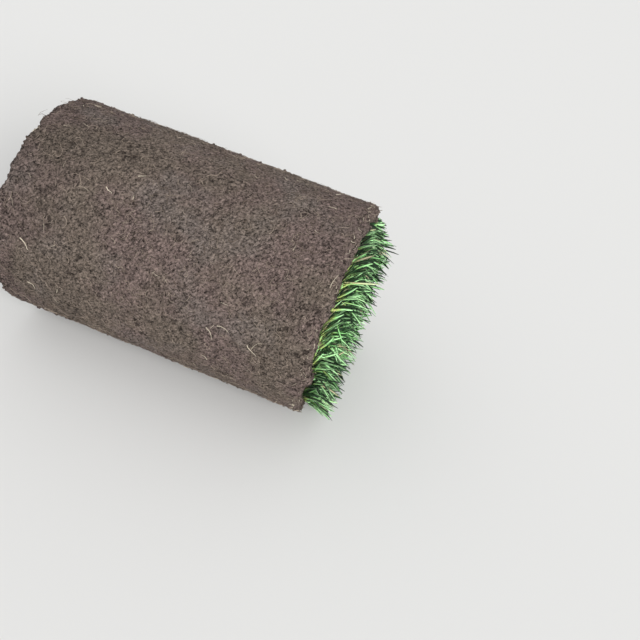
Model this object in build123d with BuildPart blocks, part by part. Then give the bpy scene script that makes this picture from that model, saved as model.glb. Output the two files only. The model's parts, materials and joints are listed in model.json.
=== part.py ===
from build123d import *
import os
from math import asin, atan2, cos, degrees, hypot, pi, sin, sqrt

os.makedirs("parts", exist_ok=True)

# Roll of turf: one mown strip wound up soil side out, lying on its side with the roll's axis along X.
# All lengths are in millimetres.

# The strip, as it is cut
STRIP_LENGTH = 2500.0
STRIP_WIDTH = 400.0
SOIL_THICKNESS = 15.0
SOIL_EDGE_WEAR = 3.5  # bevel where the soil's cut edges have crumbled
SWARD_THICKNESS = 10.0  # the mown grass, pressed flat between two turns
SWARD_TIP_THICKNESS = 5.0  # where the grass thins out at the ends of its blades
SWARD_OVERHANG = 32.0  # the grass leans to the near end, where it stands out past the soil this far
SWARD_RECESS = 4.0  # and it is drawn in this far between the soil's edges at the far end
TAIL_OVERHANG = 14.0  # how far it stands out at the strip's outer cut end
TAIL_CORNER_RADIUS = 4.0  # the soil's corner there, which the roll lies on

# The eye that is left in the middle of the winding
BORE_RADIUS = 18.0

# Each turn adds one thickness of strip to the radius. The winding is drawn the way a coil is drawn with
# compasses: half turns about two centres that are half a pitch apart, so that every half turn meets the
# next without a kink and the strip keeps one thickness all the way.
PITCH = SOIL_THICKNESS + SWARD_THICKNESS
CENTRE_SHIFT = PITCH / 4.0  # from the bore's axis to the centre of either half
HALF_STEP = PITCH / 2.0  # what the radius loses from one half turn to the next

# The section holds exactly the strip's length, so its area gives the radius at the outer cut end
wound_area = STRIP_LENGTH * PITCH + pi * BORE_RADIUS**2
TAIL_RADIUS = (PITCH + sqrt(16.0 * wound_area / pi - PITCH**2)) / 4.0
RETURN_RADIUS = TAIL_RADIUS - HALF_STEP

# The roll comes to rest on two lines: the corner of its outer cut end and the turn beside that end.
# This angle turns the winding until both are level; it runs from +Y to the cut end, seen from +X.
CORNER_REACH = sqrt((TAIL_RADIUS - TAIL_CORNER_RADIUS) ** 2 - TAIL_CORNER_RADIUS**2)
corner_span = hypot(CORNER_REACH + HALF_STEP, TAIL_CORNER_RADIUS)
TAIL_ANGLE = asin((TAIL_CORNER_RADIUS - RETURN_RADIUS) / corner_span)
TAIL_ANGLE -= atan2(TAIL_CORNER_RADIUS, CORNER_REACH + HALF_STEP)

# The origin is on the floor, in the middle of the roll's length and of its depth
SOIL_FAR = -(STRIP_WIDTH + SWARD_OVERHANG) / 2.0
SOIL_NEAR = SOIL_FAR + STRIP_WIDTH
SWARD_FAR = SOIL_FAR + SWARD_RECESS
SWARD_NEAR = SOIL_NEAR + SWARD_OVERHANG
TO_TAIL = Vector(0, cos(TAIL_ANGLE), sin(TAIL_ANGLE))
BORE_CENTRE = Vector(0, -CENTRE_SHIFT, RETURN_RADIUS + CENTRE_SHIFT * TO_TAIL.Z)
OUTER_CENTRE = BORE_CENTRE + TO_TAIL * CENTRE_SHIFT
RETURN_CENTRE = BORE_CENTRE - TO_TAIL * CENTRE_SHIFT

WASTE_MARGIN = 1.0  # how far a cutter runs past the surface that it cuts


def winding_plane(centre):
    """Plane through the roll's axis and its outer cut end: x runs along the roll, y out to the end."""
    return Plane(origin=centre, x_dir=(1, 0, 0), z_dir=(0, -TO_TAIL.Z, TO_TAIL.Y))


def soil_section(outer_radius):
    """The soil of one turn, with worn edges."""
    inner_radius = outer_radius - SOIL_THICKNESS
    Polygon(
        (SOIL_NEAR - SOIL_EDGE_WEAR, outer_radius),
        (SOIL_FAR + SOIL_EDGE_WEAR, outer_radius),
        (SOIL_FAR, outer_radius - SOIL_EDGE_WEAR),
        (SOIL_FAR, inner_radius + SOIL_EDGE_WEAR),
        (SOIL_FAR + SOIL_EDGE_WEAR, inner_radius),
        (SOIL_NEAR - SOIL_EDGE_WEAR, inner_radius),
        (SOIL_NEAR, inner_radius + SOIL_EDGE_WEAR),
        (SOIL_NEAR, outer_radius - SOIL_EDGE_WEAR),
        align=None,
    )


def sward_section(outer_radius):
    """The grass of one turn, which runs on past the soil at the near end and thins out."""
    inner_radius = outer_radius - SWARD_THICKNESS
    thinning = (SWARD_THICKNESS - SWARD_TIP_THICKNESS) / 2.0
    Polygon(
        (SOIL_NEAR, outer_radius),
        (SWARD_FAR, outer_radius),
        (SWARD_FAR, inner_radius),
        (SOIL_NEAR, inner_radius),
        (SWARD_NEAR, inner_radius + thinning),
        (SWARD_NEAR, outer_radius - thinning),
        align=None,
    )


# Each half of the roll is turned about its own centre. Its profile is the strip's section, soil over
# grass, once for every turn down to the bore. So the turns show at both ends: the grass is one spiral
# ridge at the near end, and one spiral groove between the soil's edges at the far end.
with BuildPart() as turf_roll:
    for centre, outer_radius, turning_way in (
        (OUTER_CENTRE, TAIL_RADIUS, (1, 0, 0)),
        (RETURN_CENTRE, RETURN_RADIUS, (-1, 0, 0)),
    ):
        with BuildSketch(winding_plane(centre)) as half_profile:
            turn_radius = outer_radius
            while turn_radius - SOIL_THICKNESS > BORE_RADIUS:
                soil_section(turn_radius)
                sward_section(turn_radius - SOIL_THICKNESS)
                turn_radius -= PITCH
            with Locations((SOIL_FAR, 0)):
                Rectangle(STRIP_WIDTH, turn_radius, align=Align.MIN)
        revolve(axis=Axis(centre, turning_way), revolution_arc=180)

    # The grass also stands out past the soil at the strip's outer cut end
    with BuildSketch(winding_plane(RETURN_CENTRE)) as tail_fringe:
        sward_section(RETURN_RADIUS + SWARD_THICKNESS)
    revolve(axis=Axis(RETURN_CENTRE, (-1, 0, 0)), revolution_arc=degrees(TAIL_OVERHANG / RETURN_RADIUS))

    # The soil's outer corner at that end is worn round: this is the waste outside the rounding
    corner_turn = degrees(asin(TAIL_CORNER_RADIUS / (TAIL_RADIUS - TAIL_CORNER_RADIUS)))
    corner_plane = Plane(origin=OUTER_CENTRE, x_dir=TO_TAIL, z_dir=(1, 0, 0)).offset(SOIL_FAR)
    with BuildSketch(corner_plane) as corner_waste:
        with BuildLine():
            rounding = CenterArc((CORNER_REACH, TAIL_CORNER_RADIUS), TAIL_CORNER_RADIUS, -90, 90 + corner_turn)
            Polyline(
                rounding @ 1,
                (rounding @ 1) * (1.0 + WASTE_MARGIN / TAIL_RADIUS),
                (TAIL_RADIUS + WASTE_MARGIN, -WASTE_MARGIN),
                (CORNER_REACH, -WASTE_MARGIN),
                rounding @ 0,
            )
        make_face()
    extrude(amount=STRIP_WIDTH, mode=Mode.SUBTRACT)

    with BuildSketch(Plane.YZ.offset(SOIL_FAR)) as bore_section:
        with Locations((BORE_CENTRE.Y, BORE_CENTRE.Z)):
            Circle(BORE_RADIUS)
    extrude(amount=STRIP_WIDTH + SWARD_OVERHANG, mode=Mode.SUBTRACT)

turf_roll.part.label = "turf_roll"
export_step(turf_roll.part, "parts/turf_roll.step")
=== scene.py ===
"""Roll of turf: one mown strip, wound up with its soil outside and its grass between the turns.

Soil, grass, roots and straw are first laid out flat, by three distances in metres: across the strip,
which is the roll's own X, along it from the outer cut end, and down into it from the soil's face.
Winding.wind rolls up whatever is laid out that way, so they all follow the same turns. Only the crumbs
are scattered on the roll itself.
"""

from __future__ import annotations

import json
import logging
from dataclasses import dataclass, fields
from enum import IntEnum
from math import asin, atan2, hypot, pi, radians, sqrt, tau
from types import SimpleNamespace
from typing import NamedTuple

import bpy
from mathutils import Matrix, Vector


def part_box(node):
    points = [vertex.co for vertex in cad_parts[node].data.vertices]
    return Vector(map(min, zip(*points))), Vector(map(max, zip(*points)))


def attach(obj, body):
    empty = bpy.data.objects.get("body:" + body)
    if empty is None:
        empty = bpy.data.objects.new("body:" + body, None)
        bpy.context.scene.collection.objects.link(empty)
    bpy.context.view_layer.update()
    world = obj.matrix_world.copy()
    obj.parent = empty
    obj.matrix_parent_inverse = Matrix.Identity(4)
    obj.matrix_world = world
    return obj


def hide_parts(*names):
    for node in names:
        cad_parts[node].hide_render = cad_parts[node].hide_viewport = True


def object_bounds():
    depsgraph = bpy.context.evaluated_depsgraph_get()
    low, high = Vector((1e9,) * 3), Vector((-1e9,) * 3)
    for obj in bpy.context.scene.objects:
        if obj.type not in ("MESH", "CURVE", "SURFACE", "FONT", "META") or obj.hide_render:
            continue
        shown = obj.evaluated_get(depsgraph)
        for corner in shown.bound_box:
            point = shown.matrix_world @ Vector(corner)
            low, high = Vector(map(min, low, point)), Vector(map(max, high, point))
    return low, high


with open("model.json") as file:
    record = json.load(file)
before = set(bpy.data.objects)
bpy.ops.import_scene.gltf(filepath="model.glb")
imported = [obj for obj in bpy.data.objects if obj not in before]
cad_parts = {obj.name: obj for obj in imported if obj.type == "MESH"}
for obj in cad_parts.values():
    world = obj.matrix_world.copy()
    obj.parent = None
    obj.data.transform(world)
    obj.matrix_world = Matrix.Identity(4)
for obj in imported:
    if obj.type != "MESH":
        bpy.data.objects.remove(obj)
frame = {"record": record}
cad_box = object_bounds()

log = logging.getLogger("turf")
Colour = tuple[float, float, float]
Point = tuple[float, float, float]

FLOOR_CLEARANCE = 0.0004  # how near to the floor a point may come, in metres
NO_LIMIT = -10.0  # further out than any piece reaches, in metres
NEARLY_NOTHING = 0.0001  # keeps a relief of no height from dividing by nothing, in metres
STRAND_CORNERS = 3  # a blade or a fibre has three sides


class RollEnd(IntEnum):
    """One of the roll's two ends, as its direction along X."""

    FAR = -1
    NEAR = 1


class Field:
    """A value inside a node tree. Plain arithmetic on it adds the nodes that work the result out."""

    def __init__(self, graph: Graph, socket: bpy.types.NodeSocket) -> None:
        """Wraps a node's output socket."""
        self.graph = graph
        self.socket = socket

    @staticmethod
    def _is_vector(value: Value) -> bool:
        """Whether a value has three parts."""
        return isinstance(value, tuple) or (isinstance(value, Field) and value.socket.type == "VECTOR")

    def _join(self, operation: str, *values: Value) -> Field:
        """Adds a maths node, or a vector maths node where any of its values is a vector."""
        kind = "ShaderNodeVectorMath" if any(map(self._is_vector, values)) else "ShaderNodeMath"
        return self.graph.add(kind, *values, operation=operation)

    def __add__(self, other: Value) -> Field:
        """Sum."""
        return self._join("ADD", self, other)

    def __sub__(self, other: Value) -> Field:
        """Difference."""
        return self._join("SUBTRACT", self, other)

    def __rsub__(self, other: Value) -> Field:
        """Difference."""
        return self._join("SUBTRACT", other, self)

    def __mul__(self, other: Value) -> Field:
        """Product."""
        return self._join("MULTIPLY", self, other)

    def __truediv__(self, other: Value) -> Field:
        """Quotient."""
        return self._join("DIVIDE", self, other)

    def __pow__(self, power: Value) -> Field:
        """Power."""
        return self._join("POWER", self, power)

    def sine(self) -> Field:
        """Sine of an angle in radians."""
        return self._join("SINE", self)

    def cosine(self) -> Field:
        """Cosine of an angle in radians."""
        return self._join("COSINE", self)

    def root(self) -> Field:
        """Square root."""
        return self._join("SQRT", self)

    def size(self) -> Field:
        """Value without its sign."""
        return self._join("ABSOLUTE", self)

    def whole(self) -> Field:
        """Value rounded down."""
        return self._join("FLOOR", self)

    def at_least(self, other: Value) -> Field:
        """Greater of two values."""
        return self._join("MAXIMUM", self, other)

    def at_most(self, other: Value) -> Field:
        """Lesser of two values."""
        return self._join("MINIMUM", self, other)

    def ramp(
        self, start: Value, end: Value, low: Value = 0.0, high: Value = 1.0, soft: bool = True
    ) -> Field:
        """Runs from low to high while this value runs from start to end, and stays there outside them."""
        kind = "SMOOTHSTEP" if soft else "LINEAR"
        return self.graph.add("ShaderNodeMapRange", self, start, end, low, high, interpolation_type=kind)


Value = Field | float | int | bool | str | tuple | bpy.types.ID | None


class Graph:
    """Adds nodes to a tree, in a material or in Geometry Nodes."""

    def __init__(self, tree: bpy.types.NodeTree) -> None:
        """Takes the tree that the nodes go in."""
        self.tree = tree

    def node(self, kind: str, *values: Value, **settings: object) -> bpy.types.Node:
        """Adds one node.

        Args:
            kind: the node type's own name.
            values: what goes into the node's sockets, in their order. None leaves a socket as it is.
            settings: the node's own properties.

        Returns:
            The new node.
        """
        node = self.tree.nodes.new(kind)
        for name, setting in settings.items():
            setattr(node, name, setting)
        sockets = [socket for socket in node.inputs if socket.enabled]
        for socket, value in zip(sockets, values):
            if isinstance(value, Field):
                self.tree.links.new(value.socket, socket)
            elif value is not None:
                spread = socket.type == "VECTOR" and not isinstance(value, tuple)
                socket.default_value = (value,) * 3 if spread else value
        return node

    def add(self, kind: str, *values: Value, **settings: object) -> Field:
        """Adds one node, as node does, and gives its first output."""
        node = self.node(kind, *values, **settings)
        return Field(self, next(socket for socket in node.outputs if socket.enabled))

    def vector(self, x: Value, y: Value, z: Value) -> Field:
        """Vector from its three parts."""
        return self.add("ShaderNodeCombineXYZ", x, y, z)

    def parts(self, vector: Field) -> tuple[Field, Field, Field]:
        """The three parts of a vector."""
        node = self.node("ShaderNodeSeparateXYZ", vector)
        return tuple(Field(self, socket) for socket in node.outputs)

    def noise(self, at: Field, scale: Value, detail: float = 2.0, roughness: float = 0.5) -> Field:
        """Smooth noise from about -1 to 1, with scale lumps to the metre and detail rounds of finer ones."""
        return self.add("ShaderNodeTexNoise", at, scale, detail, roughness) * 2.0 - 1.0

    def grains(self, at: Field, scale: Value) -> tuple[Field, Field]:
        """Grains packed side by side.

        Args:
            at: where they are read.
            scale: how many there are to the metre.

        Returns:
            The distance from the middle of the grain, in shares of the grains' spacing, and the grain's
            own tone from 0 to 1.
        """
        node = self.node("ShaderNodeTexVoronoi", at, scale)
        tone, _, _ = self.parts(Field(self, node.outputs["Color"]))
        return Field(self, node.outputs["Distance"]), tone


@dataclass(frozen=True)
class Span:
    """The least and the most that a size may be."""

    low: float
    high: float


class Strands(NamedTuple):
    """Curves that are still to be shaped, and what each of their points knows of itself.

    Who is the number of its curve, and growth its share of the way from the curve's foot to its tip.
    """

    curves: Field
    who: Field
    growth: Field


class PieceGraph(Graph):
    """A Geometry Nodes tree that makes one piece. The piece's sizes are the tree's named inputs."""

    def __init__(self, name: str, seed: int) -> None:
        """Starts an empty tree.

        Args:
            name: the piece's name.
            seed: the number that the tree's random choices count up from.
        """
        super().__init__(bpy.data.node_groups.new(name, "GeometryNodeTree"))
        self.seed = seed
        self.settings: dict[str, float | int] = {}
        self.known: dict[str, Field] = {}
        for way in ("INPUT", "OUTPUT"):
            self.tree.interface.new_socket("Geometry", in_out=way, socket_type="NodeSocketGeometry")
        self.entry = self.tree.nodes.new("NodeGroupInput")
        self.exit = self.tree.nodes.new("NodeGroupOutput")
        self.source = Field(self, self.entry.outputs[0])

    def given(self, name: str, value: float | int) -> Field:
        """A named input of the tree, made the first time that it is asked for.

        Args:
            name: the input's name.
            value: what the finished piece has there.

        Returns:
            The input.
        """
        if name not in self.known:
            kind = "NodeSocketInt" if isinstance(value, int) else "NodeSocketFloat"
            item = self.tree.interface.new_socket(name, in_out="INPUT", socket_type=kind)
            self.settings[item.identifier] = value
            socket = next(s for s in self.entry.outputs if s.identifier == item.identifier)
            self.known[name] = Field(self, socket)
        return self.known[name]

    def sizes(self, part: object) -> SimpleNamespace:
        """Named inputs for every number among a part's fields, and a pair of them for every span.

        Args:
            part: the dataclass that holds the sizes.

        Returns:
            A namespace with the same names, which holds the inputs.
        """
        found: dict[str, Field | tuple[Field, Field]] = {}
        for entry in fields(part):
            value = getattr(part, entry.name)
            label = entry.name.replace("_", " ")
            if isinstance(value, (int, float)):
                found[entry.name] = self.given(label, value)
            elif isinstance(value, Span):
                low = self.given(f"least {label}", value.low)
                found[entry.name] = (low, self.given(f"most {label}", value.high))
        return SimpleNamespace(**found)

    def pick(self, span: tuple[Value, Value], who: Field) -> Field:
        """A random number within a span, the same wherever who is the same."""
        self.seed += 1
        return self.add("FunctionNodeRandomValue", *span, who, self.seed, data_type="FLOAT")

    def choose(self, order: Field, values: tuple[Seat, ...]) -> Field:
        """Picks a vector from a short list.

        Args:
            order: its place in the list, from 0.
            values: the list.

        Returns:
            The vector.
        """
        node = self.node("GeometryNodeIndexSwitch", data_type="VECTOR")
        while len(node.index_switch_items) < len(values):
            node.index_switch_items.new()
        self.tree.links.new(order.socket, node.inputs[0])
        for socket, value in zip(node.inputs[1:], values):
            socket.default_value = value
        return Field(self, node.outputs[0])

    def keep(self, geometry: Field, name: str, value: Field) -> Field:
        """Stores a value on every point, for the finish to read."""
        return self.add("GeometryNodeStoreNamedAttribute", geometry, None, name, value, data_type="FLOAT")

    def place(self, geometry: Field, position: Field, clearance: float = FLOOR_CLEARANCE) -> Field:
        """Moves every point to its new position, and none nearer to the floor than the clearance."""
        above = position.at_least((NO_LIMIT, NO_LIMIT, clearance))
        return self.add("GeometryNodeSetPosition", geometry, None, above)

    def strands(self, count: Field, joints: Field) -> Strands:
        """Makes curves with all their points in one place.

        Args:
            count: how many curves there are.
            joints: how many points each of them has.

        Returns:
            The curves, still to be shaped.
        """
        order = self.add("GeometryNodeInputIndex")
        who = ((order + 0.5) / joints).whole()
        growth = (order - who * joints) / (joints - 1.0)
        points = self.add("GeometryNodePoints", count * joints)
        return Strands(self.add("GeometryNodePointsToCurves", points, who, order), who, growth)

    def sweep(self, curves: Field, profile: Field, width: Field) -> Field:
        """Skins curves, closed at both ends, with a profile of radius 1 that is scaled to their width."""
        return self.add("GeometryNodeCurveToMesh", curves, profile, width * 0.5, True)

    def grow(
        self, geometry: Field, dress: bpy.types.Material, source: bpy.types.Mesh | None = None
    ) -> bpy.types.Object:
        """Ends the tree, runs it once and keeps what it makes as a plain mesh.

        Args:
            geometry: the finished geometry.
            dress: its material.
            source: the mesh that the tree works on, where it needs one.

        Returns:
            The piece, at the origin and with no modifier.
        """
        real = self.add("GeometryNodeRealizeInstances", geometry)
        dressed = self.add("GeometryNodeSetMaterial", real, None, dress)
        self.tree.links.new(dressed.socket, self.exit.inputs[0])
        name = self.tree.name
        piece = bpy.data.objects.new(name, source or bpy.data.meshes.new(name))
        bpy.context.scene.collection.objects.link(piece)
        modifier = piece.modifiers.new("grow", "NODES")
        modifier.node_group = self.tree
        for identifier, value in self.settings.items():
            modifier[identifier] = value
        view = bpy.context.evaluated_depsgraph_get()
        mesh = bpy.data.meshes.new_from_object(piece.evaluated_get(view), depsgraph=view)
        piece.modifiers.remove(modifier)
        mesh.name = name
        mesh.shade_smooth()
        piece.data = mesh
        return piece


class FinishGraph(Graph):
    """The nodes of one material."""

    def __init__(self, name: str) -> None:
        """Starts an empty material.

        Args:
            name: the material's name.
        """
        self.material = bpy.data.materials.new(name)
        self.material.use_nodes = True
        super().__init__(self.material.node_tree)
        self.tree.nodes.clear()
        self.here = Field(self, self.tree.nodes.new("ShaderNodeTexCoord").outputs["Object"])

    def attribute(self, name: str) -> Field:
        """A value that the piece keeps on its points."""
        node = self.node("ShaderNodeAttribute", attribute_name=name)
        return Field(self, node.outputs["Fac"])

    def mix(self, share: Value, first: Colour | Field, second: Colour | Field, way: str = "MIX") -> Field:
        """Blends two colours in the given way, where share is how much of the second one shows."""
        ends = [c if isinstance(c, Field) else (*c, 1.0) for c in (first, second)]
        return self.add("ShaderNodeMix", share, *ends, data_type="RGBA", blend_type=way)

    def shade(self, colour: Field, light: Field) -> Field:
        """A colour made lighter or darker by a factor."""
        return self.mix(1.0, colour, light, "MULTIPLY")

    def dress(
        self, colour: Value, roughness: float, gloss: float, height: Field | None = None, relief: float = 0.0
    ) -> bpy.types.Material:
        """Ends the material in one shader.

        Args:
            colour: its base colour, with an opacity where it is written out.
            roughness: the shader's roughness.
            gloss: how strong its reflections are.
            height: how high its fine relief stands, from about -1 to 1, or None where it is smooth.
            relief: how high that is in metres.

        Returns:
            The material.
        """
        surface = self.node("ShaderNodeBsdfPrincipled", colour)
        surface.inputs["Roughness"].default_value = roughness
        surface.inputs["Specular IOR Level"].default_value = gloss
        if height is not None:
            bump = self.node("ShaderNodeBump", 1.0, relief)
            self.tree.links.new(height.socket, bump.inputs["Height"])
            self.tree.links.new(bump.outputs["Normal"], surface.inputs["Normal"])
        self.node("ShaderNodeOutputMaterial", Field(self, surface.outputs[0]))
        return self.material


class Wound(NamedTuple):
    """Where a point of the flat strip lies once it is wound up."""

    place: Field
    outward: Field


@dataclass(frozen=True)
class Winding:
    """The strip's section and how it is wound, in metres.

    The roll is drawn the way a coil is drawn with compasses: half turns about two centres that are half
    a pitch apart, each half turn half a pitch less in radius than the one outside it. The strip is soil
    over pressed grass, and the roll lies on the rounded corner of its outer cut end.
    """

    bore_y: float
    bore_z: float
    bore_radius: float
    soil_far: float
    strip_length: float = 2.5
    strip_width: float = 0.4
    soil: float = 0.015
    sward: float = 0.010
    tail_corner: float = 0.004

    @classmethod
    def from_frame(cls, record: dict) -> Winding:
        """Reads the bore and the soil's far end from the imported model.

        Args:
            record: the model's record.

        Returns:
            The winding that fits it.
        """
        bore = next(mount for mount in record["mounts"] if mount["name"] == "bore")
        _, y, z = bore["pos_m"]
        return cls(y, z, bore["dims"]["r_mm"] / 1000.0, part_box("turf_roll")[0].x)

    @property
    def soil_near(self) -> float:
        """Where the soil's cut edge is at the near end."""
        return self.soil_far + self.strip_width

    @property
    def half_step(self) -> float:
        """What the radius loses from one half turn to the next."""
        return (self.soil + self.sward) / 2.0

    @property
    def tail_radius(self) -> float:
        """Radius of the soil's face at the outer cut end.

        Returns:
            The radius at which the roll's section holds the whole strip.
        """
        pitch = 2.0 * self.half_step
        wound_area = self.strip_length * pitch + pi * self.bore_radius**2
        return (pitch + sqrt(16.0 * wound_area / pi - pitch**2)) / 4.0

    @property
    def tail_angle(self) -> float:
        """Direction of the outer cut end, from +Y towards +Z.

        Returns:
            The angle at which the roll lies at rest on that end's corner and on the turn beside it.
        """
        reach = sqrt((self.tail_radius - self.tail_corner) ** 2 - self.tail_corner**2) + self.half_step
        drop = self.tail_corner - (self.tail_radius - self.half_step)
        return asin(drop / hypot(reach, self.tail_corner)) - atan2(self.tail_corner, reach)

    def run(self, turns: float) -> float:
        """How much of the soil's face lies in the outermost turns."""
        turned = tau * turns
        return self.tail_radius * turned - self.half_step / tau * turned**2

    def edge(self, end: RollEnd) -> float:
        """Where the soil's cut edge is at one end of the roll."""
        return self.soil_near if end is RollEnd.NEAR else self.soil_far

    def wind(self, g: PieceGraph, across: Field, along: Field, depth: Field) -> Wound:
        """Rolls up a point of the flat strip.

        Args:
            g: the tree that works it out.
            across: the point's X.
            along: its distance from the outer cut end, along the soil's face.
            depth: its distance inwards from that face.

        Returns:
            Its place in the roll and the direction there away from the roll's middle.
        """
        tail_radius = g.given("tail radius", self.tail_radius)
        half_step = g.given("half step", self.half_step)
        tail_angle = g.given("tail angle", self.tail_angle)
        # The angle at which that length has been wound up, with the radius falling evenly
        loss = half_step / pi
        turned = (tail_radius - (tail_radius * tail_radius - loss * along * 2.0).root()) / loss
        half_turns = (turned / pi).whole()
        # 1 for a half turn about the outer centre, and -1 for one about the other centre
        swap = 1.0 - (half_turns - (half_turns / 2.0).whole() * 2.0) * 2.0
        shift = swap * half_step / 2.0
        y = g.given("bore y", self.bore_y) + shift * tail_angle.cosine()
        z = g.given("bore z", self.bore_z) + shift * tail_angle.sine()
        angle = tail_angle + turned
        outward = g.vector(0.0, angle.cosine(), angle.sine())
        radius = tail_radius - half_turns * half_step - depth
        return Wound(g.vector(across, y, z) + outward * radius, outward)


@dataclass(frozen=True)
class SoilFinish:
    """Damp loam, cut with a blade: matte brown and crumbly, with dark pits and pale root ends.

    Towards the roll's far end it is painted darker, as painted shade. A scale is a number to the metre.
    Noises that shouldn't follow one another are read a few metres apart.
    """

    name: str = "soil"
    purple: Colour = (0.172, 0.128, 0.115)
    olive: Colour = (0.165, 0.132, 0.108)
    grey: Colour = (0.173, 0.145, 0.129)
    # Near black, painted as the shade inside the pits and hollows
    pit: Colour = (0.020, 0.014, 0.012)
    fleck: Colour = (0.42, 0.35, 0.29)
    patch_scale: float = 12.0
    drift_scale: float = 14.0
    gather_scale: float = 26.0
    fibre_scale: float = 120.0
    pit_scale: float = 125.0
    bend_scale: float = 260.0
    lump_scale: float = 330.0
    grain_scale: float = 360.0
    fleck_scale: float = 420.0
    crumb_scale: float = 720.0
    bend: float = 0.003
    darkest: float = 0.14
    # The far end is painted darker, as painted shade: the share of light kept there, and the stretch of X it
    # fades over
    dampest: float = 0.82
    damp: Span = Span(-0.2, -0.06)
    relief: float = 0.002

    def material(self) -> bpy.types.Material:
        """Builds the material.

        Returns:
            The material.
        """
        g = FinishGraph(self.name)
        # Broad patches of three browns
        wide = g.noise(g.here, self.patch_scale, 3.0)
        drift = g.noise(g.here + (4.0, 0.0, 2.0), self.drift_scale, 3.0)
        colour = g.mix(wide.ramp(-0.2, 0.25), self.purple, self.olive)
        colour = g.mix(drift.ramp(0.0, 0.4) * 0.75, colour, self.grey)
        # Lumps and crumbs, each of its own tone, and painted shade in the crevices between the lumps
        bent = g.here + g.noise(g.here, self.bend_scale) * self.bend
        lump, lump_tone = g.grains(bent, self.lump_scale)
        crumb, crumb_tone = g.grains(bent, self.crumb_scale)
        grain = g.noise(g.here, self.grain_scale, 3.0, 0.65)
        crevice = lump.ramp(0.42, 0.8)
        # Tone of lumps, crumbs and grain, less the painted shade in the crevices
        light = lump_tone * 0.62 + crumb_tone * 0.95 + grain * 1.4 - crevice * 0.35 + 0.3
        # Painted shade: darker towards the roll's far end
        across, _, _ = g.parts(g.here)
        damp = (across + drift * 0.1).ramp(self.damp.low, self.damp.high, self.dampest, 1.0)
        colour = g.shade(colour, light.at_least(self.darkest) * damp)
        # Painted shade: near-black pits, which gather in places, and darker paint at the bottom of the
        # modelled hollows
        gather = g.noise(g.here + (0.0, 3.0, 1.0), self.gather_scale)
        pits = g.noise(bent, self.pit_scale).ramp(-0.16, -0.3) * gather.ramp(-0.1, 0.35)
        hollow_shade = g.attribute("relief").ramp(0.1, -1.0)
        colour = g.mix((pits * 0.8).at_least(hollow_shade * 0.5), colour, self.pit)
        # Pale specks and the finest roots
        fibres = g.noise(g.here, self.fibre_scale, 2.0, 0.4).size().ramp(0.035, 0.0)
        flecks = g.noise(g.here + (1.0, 2.0, 0.0), self.fleck_scale, 1.0).ramp(0.42, 0.62)
        pale = (flecks * 0.6).at_least(fibres * grain.ramp(-0.2, 0.5) * 0.3)
        colour = g.mix(pale, colour, self.fleck)
        height = crevice * -0.5 + crumb * -0.35 + grain * 0.5 + fibres * 0.2 - pits
        return g.dress(colour, roughness=0.95, gloss=0.15, height=height, relief=self.relief)


@dataclass(frozen=True)
class BladeFinish:
    """Blades of grass: yellowish at the sheath, green above it and pale towards the tip.

    By their tone, nearly half of them are painted dark as painted shade, and a few are straw.
    """

    name: str = "grass_blades"
    sheath: Colour = (0.60, 0.74, 0.22)
    green: Colour = (0.21, 0.64, 0.16)
    # Pale tips: partly the grass's own colour and partly a painted highlight
    tip: Colour = (0.55, 0.96, 0.47)
    # Painted shade, for the blades that stand for shaded ones
    dark: Colour = (0.006, 0.036, 0.009)
    straw: Colour = (0.72, 0.62, 0.40)
    blotch_scale: float = 160.0
    vein_scale: float = 350.0
    relief: float = 0.0003

    def material(self) -> bpy.types.Material:
        """Builds the material.

        Returns:
            The material.
        """
        g = FinishGraph(self.name)
        growth = g.attribute("growth")
        tone = g.attribute("tone")
        colour = g.mix(growth.ramp(0.25, 0.7), self.sheath, self.green)
        # Pale tips on the lighter blades, partly their own colour and partly a painted highlight
        colour = g.mix(growth.ramp(0.3, 0.8) * tone.ramp(0.35, 0.75), colour, self.tip)
        # Painted shade: nearly half the blades, picked at random by tone, are painted nearly black-green
        colour = g.mix(tone.ramp(0.53, 0.41) * 0.97, colour, self.dark)
        colour = g.mix(tone.ramp(0.94, 0.97) * 0.9, colour, self.straw)
        # Blotches, and painted light and shade across each blade: one side painted darker, the other lighter
        blotch = g.noise(g.here, self.blotch_scale) * 0.35 + 1.0
        colour = g.shade(colour, blotch * g.attribute("side").ramp(-0.3, 0.3, 0.3, 1.35))
        veins = g.noise(g.here * (1.0, 6.0, 6.0), self.vein_scale, 1.0)
        return g.dress(colour, roughness=0.45, gloss=0.35, height=veins, relief=self.relief)


@dataclass(frozen=True)
class ThatchFinish:
    """Pressed grass seen edge-on: a mat of flattened blades, dark between them."""

    name: str = "pressed_grass"
    # Painted shade, for the gaps between the flattened blades
    dark: Colour = (0.020, 0.035, 0.012)
    green: Colour = (0.075, 0.13, 0.035)
    straw: Colour = (0.26, 0.24, 0.11)
    line_scale: float = 420.0
    clump_scale: float = 60.0
    relief: float = 0.002

    def material(self) -> bpy.types.Material:
        """Builds the material.

        Returns:
            The material.
        """
        g = FinishGraph(self.name)
        lines = g.noise(g.here * (0.25, 1.0, 1.0), self.line_scale, 3.0)
        clumps = g.noise(g.here, self.clump_scale)
        # Painted shade: dark streaks between the flattened blades
        colour = g.mix(lines.ramp(-0.3, 0.2), self.dark, self.green)
        colour = g.mix(lines.ramp(0.15, 0.5) * clumps.ramp(-0.3, 0.4), colour, self.straw)
        return g.dress(colour, roughness=0.8, gloss=0.2, height=lines, relief=self.relief)


@dataclass(frozen=True)
class FibreFinish:
    """Roots and bits of straw, each piece of its own tone between two colours."""

    name: str
    dark: Colour
    pale: Colour
    grain_scale: float = 700.0
    relief: float = 0.0003

    def material(self) -> bpy.types.Material:
        """Builds the material.

        Returns:
            The material.
        """
        g = FinishGraph(self.name)
        grain = g.noise(g.here, self.grain_scale)
        colour = g.shade(g.mix(g.attribute("tone"), self.dark, self.pale), grain * 0.3 + 1.0)
        return g.dress(colour, roughness=0.8, gloss=0.2, height=grain, relief=self.relief)


class Tongue(NamedTuple):
    """A place along the strip where its near edge stands out, or is bitten in by a reach below 0."""

    place: float
    reach: float


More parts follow.
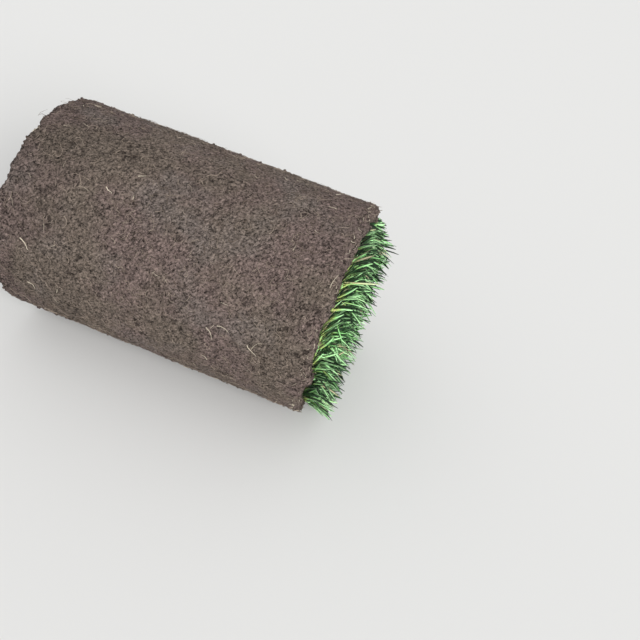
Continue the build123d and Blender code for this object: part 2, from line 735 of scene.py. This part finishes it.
@dataclass
class StripLayer:
    """One layer of the strip, soil or pressed grass, made as a closed slab and wound up.

    Its section runs round the slab: over the outer face, down the near edge, back under it and up the
    far edge. Start and end are along the strip, far and near across it, and top is a depth. A scale is
    a number to the metre.
    """

    name: str
    winding: Winding
    dress: bpy.types.Material
    start: float
    end: float
    far: float
    near: float
    top: float
    thickness: float
    steps: int
    columns: int
    under_columns: int = 24
    rim_rows: int = 6
    crowding: float = 0.0
    swell: float = 0.0015
    swell_scale: float = 9.0
    clods: float = 0.0
    clod_scale: float = 70.0
    crumb_scale: float = 230.0
    pits: float = 0.0
    pit_scale: float = 120.0
    gather_scale: float = 16.0
    ragged: float = 0.004
    ragged_scale: float = 36.0
    fray_scale: float = 260.0
    ragged_reach: float = 0.025
    wear: float = 0.001
    wear_reach: float = 0.004
    bulge: float = 0.001
    tongues: tuple[Tongue, ...] = ()
    tongue_length: float = 0.02
    seed: int = 1

    @staticmethod
    def section(put: SimpleNamespace, step: Field) -> tuple[Field, Field]:
        """Turns a count of steps round the section into a place on it.

        Args:
            put: the layer's sizes.
            step: the number of the point, counted from the far end of the outer face.

        Returns:
            Shares of the slab's width and of its thickness, from 0 to 1.
        """
        near_rim = put.columns + put.rim_rows
        under = near_rim + put.under_columns
        over = step.ramp(0.0, put.columns, soft=False) - step.ramp(near_rim, under, soft=False)
        down = step.ramp(put.columns, near_rim, soft=False)
        down = down - step.ramp(under, under + put.rim_rows, soft=False)
        crowded = 0.5 - (over * pi).cosine() * 0.5
        return over + (crowded - over) * put.crowding, down

    def shift(self, g: PieceGraph, put: SimpleNamespace, flat: Field, over: Field, down: Field) -> Field:
        """How far the ragged cut edges stand out or in.

        Args:
            g: the tree that works it out.
            put: the layer's sizes.
            flat: the point in the flat strip.
            over: its share of the way over the strip.
            down: its share of the way down into the slab.

        Returns:
            The shift along X, which fades out away from the edges.
        """
        across, along, _ = g.parts(flat)
        # -1 in the far half of the strip and 1 in the near half
        near_half = over.ramp(0.499, 0.501, -1.0, 1.0, soft=False)
        tatter = g.noise(flat, put.ragged_scale, 4.0, 0.6) + g.noise(flat, put.fray_scale) * 0.35
        tatter = tatter * put.ragged
        for tongue in self.tongues:
            share = ((along - tongue.place) / put.tongue_length).size().ramp(1.0, 0.0)
            tatter = tatter + share * tongue.reach * near_half.ramp(0.0, 1.0)
        bow = (1.0 - (down * 2.0 - 1.0) ** 2.0) * put.bulge
        return near_half * (tatter + bow) * self.rim(put, across).ramp(put.ragged_reach, 0.0)

    @staticmethod
    def rim(put: SimpleNamespace, across: Field) -> Field:
        """Distance to the nearer one of the two cut edges."""
        return (across - put.far).at_most(put.near - across)

    def grow(self) -> bpy.types.Object:
        """Makes the layer.

        Returns:
            The layer as one piece.
        """
        g = PieceGraph(self.name, self.seed)
        put = g.sizes(self)
        # A tube whose rings become the sections of the slab
        around = put.columns + put.under_columns + put.rim_rows * 2.0
        tube = g.add("GeometryNodeMeshCylinder", around, put.steps, 1, 1.0, 1.0, fill_type="NGON")
        x, y, z = g.parts(g.add("GeometryNodeInputPosition"))
        turn = g.add("ShaderNodeMath", y, x, operation="ARCTAN2") / tau + 1.0
        step = ((turn - turn.whole()) * around + 0.5).whole()
        over, down = self.section(put, step)
        along = put.end + (put.start - put.end) * (z + 0.5)
        across = put.far + (put.near - put.far) * over
        # The seed, as metres of depth, gives every layer noises of its own
        flat = g.vector(across, along, put.top + put.thickness * down + put.seed)
        worn = put.wear * self.rim(put, across).ramp(put.wear_reach, 0.0)
        depth = put.top + put.thickness * down + worn * (1.0 - down * 2.0)
        wound = self.winding.wind(g, across + self.shift(g, put, flat, over, down), along, depth)
        # Clods and dents on the outer face
        crumb = g.noise(flat, put.clod_scale, 4.0, 0.6) + g.noise(flat, put.crumb_scale, 1.0) * 0.4
        gather = g.noise(flat, put.gather_scale, 1.0).ramp(0.0, 0.35)
        pit, _ = g.grains(flat, put.pit_scale)
        dent = pit.ramp(0.42, 0.15) * gather * put.pits
        relief = (crumb * put.clods - dent) * (1.0 - down)
        swelling = g.noise(wound.place, put.swell_scale, 1.0) * put.swell
        slab = g.place(tube, wound.place + wound.outward * (relief + swelling))
        slab = g.keep(slab, "relief", relief / (put.clods + put.pits + NEARLY_NOTHING))
        return g.grow(slab, self.dress)


@dataclass
class GrassFringe:
    """Blades of grass that stand out of the roll between two turns of soil.

    Where the outermost turn is worn, they keep only worn_share of their length: as far as half of
    worn_length from worn_place, and more and more of it up to all of worn_length.
    """

    name: str
    winding: Winding
    dress: bpy.types.Material
    end: RollEnd
    count: int
    along: Span
    tuck: Span
    depth: Span
    length: Span
    lean: Span
    curl: Span
    splay: Span
    reach_limit: float
    width: Span = Span(0.0026, 0.0044)
    droop: Span = Span(0.0, 8.0)
    worn_place: float = 0.0
    worn_length: float = 0.12
    worn_share: float = 1.0
    joints: int = 7
    keel: float = 0.3
    breadth: float = 1.15
    thinning: float = 0.75
    seed: int = 10

    def grow(self) -> bpy.types.Object:
        """Makes all the blades.

        Returns:
            The fringe as one piece.
        """
        g = PieceGraph(self.name, self.seed)
        put = g.sizes(self)
        blades, who, growth = g.strands(put.count, put.joints)
        edge = g.given("edge", self.winding.edge(self.end))
        root = g.pick(put.along, who)
        unworn = ((root - put.worn_place) / put.worn_length).size().ramp(0.5, 1.0, put.worn_share, 1.0)
        reach = g.pick(put.length, who) * growth * unworn
        heading = g.pick(put.lean, who) + g.pick(put.curl, who) * growth
        across = edge + (reach * heading.cosine() - g.pick(put.tuck, who)) * put.end
        across = across.at_most(put.reach_limit).at_least(put.reach_limit * -1.0)
        along = root - reach * heading.sine()
        # Past the soil's edge a blade is free to spread and to droop
        past = ((across - edge) * put.end).at_least(along * -1.0).at_least(0.0)
        depth = g.pick(put.depth, who) + g.pick(put.splay, who) * past
        wound = self.winding.wind(g, across, along, depth)
        fall = past * past * g.pick(put.droop, who)
        blades = g.place(blades, wound.place - g.vector(0.0, 0.0, fall), self.width.high / 2.0)
        # Widest from a third of the way up, and drawn out to a thin tip
        taper = (1.0 - growth**5.0 * put.thinning) * growth.ramp(0.0, 0.3, 0.7, 1.0)
        width = g.pick(put.width, who) * taper
        blades = g.add("GeometryNodeSetCurveTilt", blades, None, g.pick((-pi, pi), who))
        blades = g.keep(g.keep(blades, "growth", growth), "tone", g.pick((0.0, 1.0), who))
        profile = g.add("GeometryNodeCurvePrimitiveCircle", STRAND_CORNERS, 1.0, mode="RADIUS")
        corner = g.add("GeometryNodeInputPosition")
        # Which side of the blade a point is on, for the painted light and shade across it
        profile = g.keep(profile, "side", g.parts(corner)[1])
        flattened = corner * g.vector(put.keel, put.breadth, 1.0)
        profile = g.add("GeometryNodeSetPosition", profile, None, flattened)
        return g.grow(g.sweep(blades, profile, width), self.dress)


class Seat(NamedTuple):
    """Where one fibre starts on the soil's outer face, and which way it runs."""

    across: float
    along: float
    heading: float


@dataclass
class SurfaceFibres:
    """Root ends or bits of straw that lie on the soil's outer face, scattered or each in its own seat.

    Bends and wave are how often and how far a fibre winds to and fro, and lift is how high its tip
    stands off the soil. It follows the soil up to its inset from a cut edge, and past that it hangs out
    by its overhang at the most.
    """

    name: str
    winding: Winding
    dress: bpy.types.Material
    count: int
    length: Span
    width: Span
    curl: Span
    along: Span
    across: Span
    heading: Span = Span(-pi, pi)
    bends: Span = Span(3.0, 9.0)
    wave: Span = Span(0.0, 0.1)
    lift: Span = Span(0.0, 0.002)
    seats: tuple[Seat, ...] = ()
    inset: float = 0.002
    overhang: float = 0.009
    bedding: float = 0.4
    thinning: float = 0.7
    joints: int = 7
    seed: int = 30

    def grow(self, ground: bpy.types.Mesh) -> bpy.types.Object:
        """Lays the fibres on the soil.

        Args:
            ground: the soil's mesh.

        Returns:
            All the fibres as one piece.
        """
        g = PieceGraph(self.name, self.seed)
        put = g.sizes(self)
        threads, who, growth = g.strands(put.count, put.joints)
        reach = g.pick(put.length, who) * growth
        sway = (growth * g.pick(put.bends, who) + g.pick((0.0, tau), who)).sine() * g.pick(put.wave, who)
        if self.seats:
            across, along, heading = g.parts(g.choose(who, self.seats))
        else:
            across, along, heading = (g.pick(span, who) for span in (put.across, put.along, put.heading))
        heading = heading + g.pick(put.curl, who) * growth + sway
        across = across + reach * heading.cosine()
        along = along + reach * heading.sine()
        soil_near = g.given("soil near", self.winding.soil_near)
        soil_far = g.given("soil far", self.winding.soil_far)
        seated = across.at_most(soil_near - put.inset).at_least(soil_far + put.inset)
        hanging = (across - seated).at_most(put.overhang).at_least(put.overhang * -1.0)
        wound = self.winding.wind(g, seated, along, 0.0)
        nearest = g.add("GeometryNodeProximity", g.source, None, wound.place, target_element="FACES")
        width = g.pick(put.width, who)
        rise = width * put.bedding + g.pick(put.lift, who) * growth * growth
        laid = nearest + wound.outward * rise + g.vector(hanging, 0.0, 0.0)
        threads = g.place(threads, laid, self.width.high)
        threads = g.keep(threads, "tone", g.pick((0.0, 1.0), who))
        profile = g.add("GeometryNodeCurvePrimitiveCircle", STRAND_CORNERS, 1.0, mode="RADIUS")
        skin = g.sweep(threads, profile, width * (1.0 - growth * put.thinning))
        return g.grow(skin, self.dress, ground)


@dataclass
class Crumbs:
    """Loose crumbs of soil that cling to the roll, small ones far more often than big ones.

    A density is a number to the square metre. None cling below the lower end of the gap over the floor.
    """

    name: str
    dress: bpy.types.Material
    density: float
    rim_density: float
    far: float
    near: float
    size: Span
    breadth: Span = Span(0.7, 1.3)
    height: Span = Span(0.5, 1.0)
    floor_gap: Span = Span(0.004, 0.008)
    rim_reach: float = 0.02
    rarity: float = 2.5
    grain_scale: float = 300.0
    seed: int = 50

    def grow(self, ground: bpy.types.Mesh) -> bpy.types.Object:
        """Scatters the crumbs over the soil, more of them along its cut edges.

        Args:
            ground: the soil's mesh.

        Returns:
            All the crumbs as one piece.
        """
        g = PieceGraph(self.name, self.seed)
        put = g.sizes(self)
        x, _, z = g.parts(g.add("GeometryNodeInputPosition"))
        rim = (x - put.far).at_most(put.near - x).ramp(put.rim_reach, 0.0)
        density = (put.density + put.rim_density * rim) * z.ramp(*put.floor_gap)
        seats = g.add("GeometryNodeDistributePointsOnFaces", g.source, None, density, put.seed)
        crumb = g.add("GeometryNodeMeshIcoSphere", 1.0, 1)
        who = g.add("GeometryNodeInputIndex")
        girth = g.pick((0.0, 1.0), who) ** put.rarity
        size = put.size[0] + (put.size[1] - put.size[0]) * girth
        shape = g.vector(*(g.pick(span, who) for span in (put.breadth, put.breadth, put.height)))
        turn = g.vector(*(g.pick((0.0, tau), who) for _ in range(3)))
        turn = g.add("FunctionNodeEulerToRotation", turn)
        size = shape * size * 0.5
        crumbs = g.add("GeometryNodeInstanceOnPoints", seats, None, crumb, None, None, turn, size)
        crumbs = g.add("GeometryNodeRealizeInstances", crumbs)
        here = g.add("GeometryNodeInputPosition")
        # The soil's finish paints shade where this noise is low, as it does in the soil's hollows
        crumbs = g.keep(g.place(crumbs, here), "relief", g.noise(here, put.grain_scale))
        return g.grow(crumbs, self.dress, ground)


@dataclass
class Studio:
    """A pale floor, soft light and the camera, which looks from where the photograph was taken."""

    eye: Point = (0.2398, -0.6752, 0.7383)
    eye_degrees: Point = (45.609, -12.219, 18.087)
    lens: float = 39.37
    clip_start: float = 0.01
    floor_size: float = 8.0
    floor_colour: Colour = (0.75, 0.75, 0.74)
    sky: float = 0.70
    lamp_strength: float = 2.25
    lamp_spread: float = 0.55
    lamp_from: Point = (2.2, -2.3, 2.0)

    def build(self) -> None:
        """Sets up the floor, the light and the camera."""
        self.lay_floor()
        self.light()
        scene = bpy.context.scene
        camera = bpy.data.cameras.new("camera")
        camera.lens = self.lens
        camera.clip_start = self.clip_start
        stand = bpy.data.objects.new("camera", camera)
        stand.location = self.eye
        stand.rotation_euler = [radians(angle) for angle in self.eye_degrees]
        scene.collection.objects.link(stand)
        scene.camera = stand
        scene.view_settings.view_transform = "Standard"

    def lay_floor(self) -> None:
        """Lays the floor at height zero."""
        half = self.floor_size / 2.0
        corners = [(-half, -half, 0.0), (half, -half, 0.0), (half, half, 0.0), (-half, half, 0.0)]
        mesh = bpy.data.meshes.new("floor")
        mesh.from_pydata(corners, [], [(0, 1, 2, 3)])
        floor = bpy.data.objects.new("floor", mesh)
        bpy.context.scene.collection.objects.link(floor)
        g = FinishGraph("floor")
        mesh.materials.append(g.dress((*self.floor_colour, 1.0), roughness=0.9, gloss=0.1))

    def light(self) -> None:
        """Lights the roll evenly from all round, and about as much again from the front right."""
        world = bpy.data.worlds.new("studio")
        world.use_nodes = True
        world.node_tree.nodes.clear()
        g = Graph(world.node_tree)
        # The backdrop is white to look at, and dimmer as a light
        rays = g.node("ShaderNodeLightPath").outputs
        seen = Field(g, rays["Is Camera Ray"]).at_least(Field(g, rays["Is Glossy Ray"]))
        strength = seen.ramp(0.0, 1.0, self.sky, 1.0, soft=False)
        g.node("ShaderNodeOutputWorld", g.add("ShaderNodeBackground", (1.0, 1.0, 1.0, 1.0), strength))
        bpy.context.scene.world = world
        lamp = bpy.data.lights.new("soft_light", "SUN")
        lamp.angle = self.lamp_spread
        lamp.energy = self.lamp_strength
        stand = bpy.data.objects.new("soft_light", lamp)
        stand.location = self.lamp_from
        stand.rotation_euler = Vector(self.lamp_from).to_track_quat("Z", "Y").to_euler()
        bpy.context.scene.collection.objects.link(stand)


@dataclass
class TurfRoll:
    """The whole roll: soil, pressed grass, fringes, roots, straw and crumbs.

    The turns say how far in from the outer cut end a layer or a fringe reaches, and lap is what two
    layers of soil share. Recesses are measured from the soil's cut edges.
    """

    winding: Winding
    outer_turns: float = 1.04
    fringe_turns: float = 1.02
    soil_turns: float = 4.85
    grass_turns: float = 4.95
    lap: float = 0.02
    mat_recess: float = 0.001
    mat_overlap: float = 0.001
    mat_overhang: float = 0.004
    far_recess: float = 0.005
    blade_margin: float = 0.0015
    blade_past_box: float = 0.021
    tail_margin: float = 0.004
    worn_place: float = 0.30
    worn_share: float = 0.45
    tongues: tuple[Tongue, ...] = (
        Tongue(0.325, 0.008), Tongue(0.372, 0.005), Tongue(0.51, -0.004), Tongue(0.581, 0.008),
    )

    def soil(self, dress: bpy.types.Material) -> list[bpy.types.Object]:
        """Makes the soil, as the outermost turn in fine relief and the turns inside it.

        Args:
            dress: its material.

        Returns:
            Both pieces, the outermost turn first.
        """
        w = self.winding
        outer_end = w.run(self.outer_turns)
        shared = {
            "winding": w, "dress": dress, "far": w.soil_far, "near": w.soil_near, "top": 0.0,
            "thickness": w.soil,
        }
        outer = StripLayer(
            "soil_outer_turn", start=0.0, end=outer_end, steps=400, columns=182, clods=0.0024, pits=0.003,
            ragged=0.009, bulge=0.0, tongues=self.tongues, **shared,
        )
        inner = StripLayer(
            "soil_inner_turns", start=outer_end - self.lap, end=w.run(self.soil_turns), steps=640,
            columns=16, under_columns=14, rim_rows=5, crowding=0.9, clods=0.0008, seed=2, **shared,
        )
        return [outer.grow(), inner.grow()]

    def mat(self, dress: bpy.types.Material) -> bpy.types.Object:
        """Makes the grass that is pressed flat between the turns.

        Args:
            dress: its material.

        Returns:
            The pressed grass as one piece.
        """
        w = self.winding
        layer = StripLayer(
            "pressed_grass", w, dress, start=-self.mat_overhang, end=w.run(self.grass_turns),
            far=w.soil_far + self.far_recess, near=w.soil_near - self.mat_recess,
            top=w.soil - self.mat_overlap, thickness=w.sward + 2.0 * self.mat_overlap, steps=640,
            columns=14, under_columns=12, rim_rows=5, crowding=0.9, ragged=0.003, bulge=0.002, seed=3,
        )
        return layer.grow()

    def fringes(self, dress: bpy.types.Material) -> list[bpy.types.Object]:
        """Makes the blades that stand out at both ends and at the outer cut end.

        Args:
            dress: their material.

        Returns:
            One piece for each fringe.
        """
        w = self.winding
        first_turn = Span(0.0, w.run(self.fringe_turns))
        inner_turns = Span(first_turn.high, w.run(self.grass_turns))
        inside = Span(w.soil + self.blade_margin, w.soil + w.sward - self.blade_margin)
        limit = max(abs(corner.x) for corner in cad_box) + self.blade_past_box
        shared = {"winding": w, "dress": dress, "depth": inside, "reach_limit": limit}
        near = {**shared, "end": RollEnd.NEAR, "width": Span(0.0026, 0.0042)}
        worn = {**near, "along": first_turn, "worn_place": self.worn_place, "worn_share": self.worn_share}
        under_soil = {**worn, "depth": Span(w.soil + 0.0005, w.soil + 0.005)}
        far = {
            **shared, "end": RollEnd.FAR, "lean": Span(-0.8, 0.8), "curl": Span(-0.8, 0.8),
            "droop": Span(0.0, 6.0), "joints": 5,
        }
        fringes = (
            GrassFringe(
                "fringe_outer_turn", count=2500, tuck=Span(0.0, 0.003), length=Span(0.018, 0.036),
                lean=Span(0.6, 1.45), curl=Span(-0.3, 0.3), splay=Span(-0.35, 0.0), **under_soil,
            ),
            GrassFringe(
                "fringe_outer_loose", count=1800, tuck=Span(0.0, 0.006), length=Span(0.020, 0.048),
                lean=Span(-0.9, 1.2), curl=Span(-0.4, 0.4), splay=Span(-0.3, 0.28), seed=15, **worn,
            ),
            GrassFringe(
                "fringe_inner_turns", count=4000, along=inner_turns, tuck=Span(0.001, 0.012),
                length=Span(0.016, 0.034), lean=Span(-0.8, 0.8), curl=Span(-0.5, 0.5),
                splay=Span(-0.18, 0.18), droop=Span(0.0, 5.0), joints=6, seed=11, **near,
            ),
            GrassFringe(
                "fringe_far_end", count=2400, along=inner_turns, tuck=Span(0.016, 0.03),
                length=Span(0.014, 0.03), splay=Span(-0.2, 0.2), seed=12, **far,
            ),
            GrassFringe(
                "fringe_far_outer_turn", count=900, along=first_turn, tuck=Span(0.018, 0.03),
                length=Span(0.014, 0.025), splay=Span(0.0, 0.3), seed=13, **far,
            ),
            GrassFringe(
                "fringe_cut_end", end=RollEnd.NEAR, count=800, along=Span(0.0, 0.01),
                tuck=Span(self.tail_margin, w.strip_width - self.tail_margin), length=Span(0.014, 0.03),
                lean=Span(1.2, 1.95), curl=Span(-0.5, 0.5), splay=Span(-0.3, 0.2), seed=14, **shared,
            ),
        )
        return [fringe.grow() for fringe in fringes]

    def litter(self, ground: bpy.types.Mesh, soil: bpy.types.Material) -> list[bpy.types.Object]:
        """Lays root ends, straw and crumbs on the soil's outer face.

        Args:
            ground: the soil's mesh.
            soil: the soil's material.

        Returns:
            One piece for each kind.
        """
        w = self.winding
        root = FibreFinish("root_ends", (0.13, 0.095, 0.075), (0.44, 0.36, 0.29)).material()
        chaff = FibreFinish("straw", (0.24, 0.19, 0.15), (0.74, 0.66, 0.52)).material()
        all_over = {"winding": w, "along": Span(0.0, w.run(1.0)), "across": Span(w.soil_far, w.soil_near)}
        near_edge = {**all_over, "across": Span(w.soil_near - 0.008, w.soil_near + 0.001)}
        # The long straws lie where the photograph shows them
        seats = (
            Seat(-0.103, 0.448, 0.67), Seat(-0.180, 0.538, 0.48), Seat(-0.170, 0.595, 0.04),
            Seat(0.109, 0.561, 0.90), Seat(0.116, 0.569, 1.07), Seat(0.115, 0.563, -1.26),
            Seat(0.058, 0.558, 0.51), Seat(0.070, 0.551, -0.29), Seat(0.175, 0.464, -1.60),
        )
        litter = (
            SurfaceFibres(
                "root_ends", dress=root, count=2600, length=Span(0.006, 0.02), width=Span(0.0004, 0.0010),
                curl=Span(-2.0, 2.0), wave=Span(0.1, 0.9), lift=Span(0.0, 0.0018), **all_over,
            ),
            SurfaceFibres(
                "straw_bits", dress=chaff, count=90, length=Span(0.003, 0.012), width=Span(0.0007, 0.0013),
                curl=Span(-0.4, 0.4), seed=40, **all_over,
            ),
            SurfaceFibres(
                "edge_straws", dress=chaff, count=120, length=Span(0.002, 0.008), width=Span(0.0007, 0.0014),
                curl=Span(-0.9, 0.9), wave=Span(0.0, 0.3), seed=42, **near_edge,
            ),
            SurfaceFibres(
                "long_straws", dress=chaff, count=len(seats), length=Span(0.011, 0.018),
                width=Span(0.0012, 0.0018), curl=Span(-0.5, 0.5), lift=Span(0.001, 0.002), seats=seats,
                seed=45, **all_over,
            ),
            Crumbs(
                "crumbs", soil, density=5000.0, rim_density=22000.0, far=w.soil_far, near=w.soil_near,
                size=Span(0.0012, 0.0055),
            ),
        )
        return [piece.grow(ground) for piece in litter]

    def build(self) -> list[bpy.types.Object]:
        """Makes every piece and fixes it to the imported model.

        Returns:
            The pieces.
        """
        soil_dress = SoilFinish().material()
        pieces = self.soil(soil_dress)
        pieces.append(self.mat(ThatchFinish().material()))
        pieces += self.fringes(BladeFinish().material())
        pieces += self.litter(pieces[0].data, soil_dress)
        for piece in pieces:
            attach(piece, "root")
        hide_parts("turf_roll")
        return pieces


def main() -> None:
    """Builds the roll and its studio, and reports every piece."""
    logging.basicConfig(level=logging.INFO, format="%(name)s: %(message)s")
    roll = TurfRoll(Winding.from_frame(frame["record"]))
    for piece in roll.build():
        piece.data.calc_loop_triangles()
        log.info("%s: %d triangles", piece.name, len(piece.data.loop_triangles))
    Studio().build()


if __name__ == "__main__":
    main()
